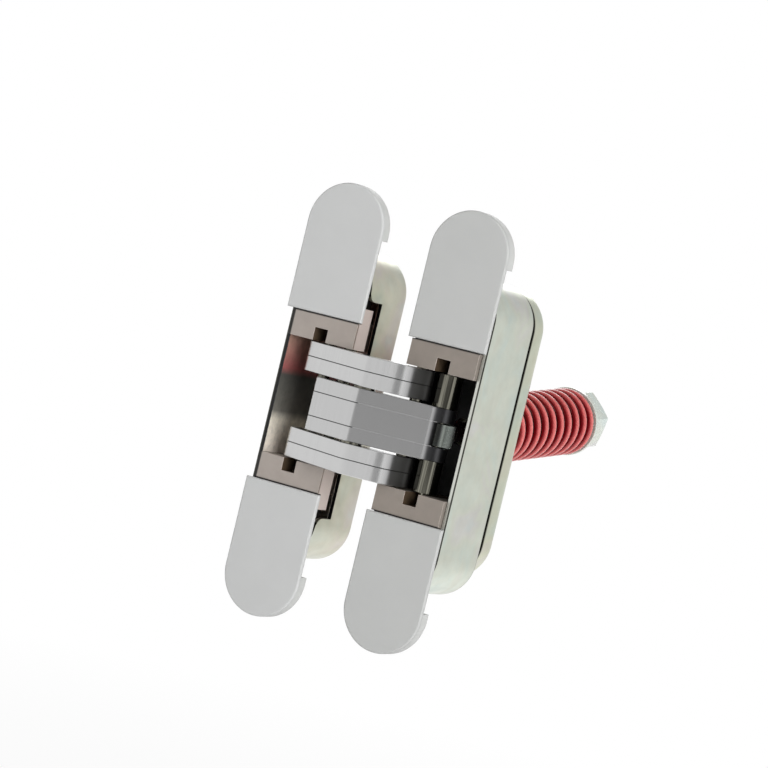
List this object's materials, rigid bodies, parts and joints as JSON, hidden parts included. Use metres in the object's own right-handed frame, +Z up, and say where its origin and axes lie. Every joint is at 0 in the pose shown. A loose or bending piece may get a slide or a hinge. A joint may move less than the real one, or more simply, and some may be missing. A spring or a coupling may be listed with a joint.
{
  "type": "concealed door hinge",
  "caption": "Concealed door hinge: two recessed casings with round-ended grey covers, crossed steel arms between them, and a red closing spring on a rod behind the door side.",
  "frame": {"origin": "middle of the frame-side fixing holes, on the seat face behind the plate's lugs", "axes": "+X across the hinge from frame side to door side, +Y into the frame and the door, +Z up along the plates"},
  "size_m": [0.0618, 0.1024, 0.12],
  "materials": {
    "plated_steel": "zinc plated, pale",
    "cast_block": "matte taupe",
    "cover_grey": "matte light grey",
    "arm_steel": "satin, brushed",
    "pin_steel": "polished dark steel",
    "brass_eccentric": "turned",
    "red_spring": "glossy red lacquer"
  },
  "bodies": {
    "frame_side": {"frame_casing": "plated_steel", "frame_upper_mounting_plate": "plated_steel", "frame_lower_mounting_plate": "plated_steel", "frame_upper_end_block": "cast_block", "frame_lower_end_block": "cast_block", "frame_upper_cover_cap": "cover_grey", "frame_lower_cover_cap": "cover_grey", "frame_pivot_pin": "pin_steel", "frame_clamp_screws": "plated_steel", "frame_adjusting_eccentrics": "brass_eccentric"},
    "middle_arm": {"middle_arm_top_plate": "arm_steel", "middle_arm_centre_plate": "arm_steel", "middle_arm_bottom_plate": "arm_steel", "centre_pin": "pin_steel", "upper_arm_spacer": "pin_steel", "lower_arm_spacer": "pin_steel", "door_slide_pin": "pin_steel", "upper_slide_sleeve": "pin_steel", "lower_slide_sleeve": "pin_steel"},
    "outer_arms": {"upper_arm_inner_plate": "arm_steel", "upper_arm_outer_plate": "arm_steel", "lower_arm_inner_plate": "arm_steel", "lower_arm_outer_plate": "arm_steel", "frame_slide_pin": "pin_steel"},
    "door_side": {"door_casing": "plated_steel", "door_upper_mounting_plate": "plated_steel", "door_lower_mounting_plate": "plated_steel", "door_upper_end_block": "cast_block", "door_lower_end_block": "cast_block", "door_upper_cover_cap": "cover_grey", "door_lower_cover_cap": "cover_grey", "door_pivot_pin": "pin_steel", "door_clamp_screws": "plated_steel", "door_adjusting_eccentrics": "brass_eccentric", "spring_housing": "plated_steel", "closing_spring": "red_spring"},
    "spring_rod": {"spring_rod": "plated_steel"},
    "spring_end": {"spring_washer": "plated_steel", "tension_nut": "plated_steel"}
  },
  "joints": [
    {"name": "middle_arm_pivot", "type": "hinge", "parent": "frame_side", "child": "middle_arm", "pos_m": [0.00775, 0.0015, 0], "axis": [0, 0, -1], "range_deg": [0, 108.9]},
    {"name": "arm_cross", "type": "hinge", "parent": "middle_arm", "child": "outer_arms", "pos_m": [0.01915, -0.007, 0], "axis": [0, 0, -1], "range_deg": [-37.81, 0]},
    {"name": "door_pivot", "type": "hinge", "parent": "outer_arms", "child": "door_side", "pos_m": [0.03055, 0.0015, 0], "axis": [0, 0, -1], "range_deg": [0, 108.91]},
    {"name": "rod_pivot", "type": "hinge", "parent": "middle_arm", "child": "spring_rod", "pos_m": [0.0383, 0.0038, 0], "axis": [0, 0, -1], "range_deg": [0, 71.11]},
    {"name": "spring_travel", "type": "slide", "parent": "door_side", "child": "spring_end", "axis": [0, 1, 0], "range_m": [0, 0.01129], "deforming": ["closing_spring"]}
  ],
  "couplings": [
    {"joint": "arm_cross", "follows": "middle_arm_pivot", "ratio": -0.34711},
    {"joint": "door_pivot", "follows": "middle_arm_pivot", "ratio": 1},
    {"joint": "rod_pivot", "follows": "middle_arm_pivot", "ratio": 0.65289},
    {"joint": "spring_travel", "follows": "middle_arm_pivot", "m_per_rad": 0.0059369}
  ]
}
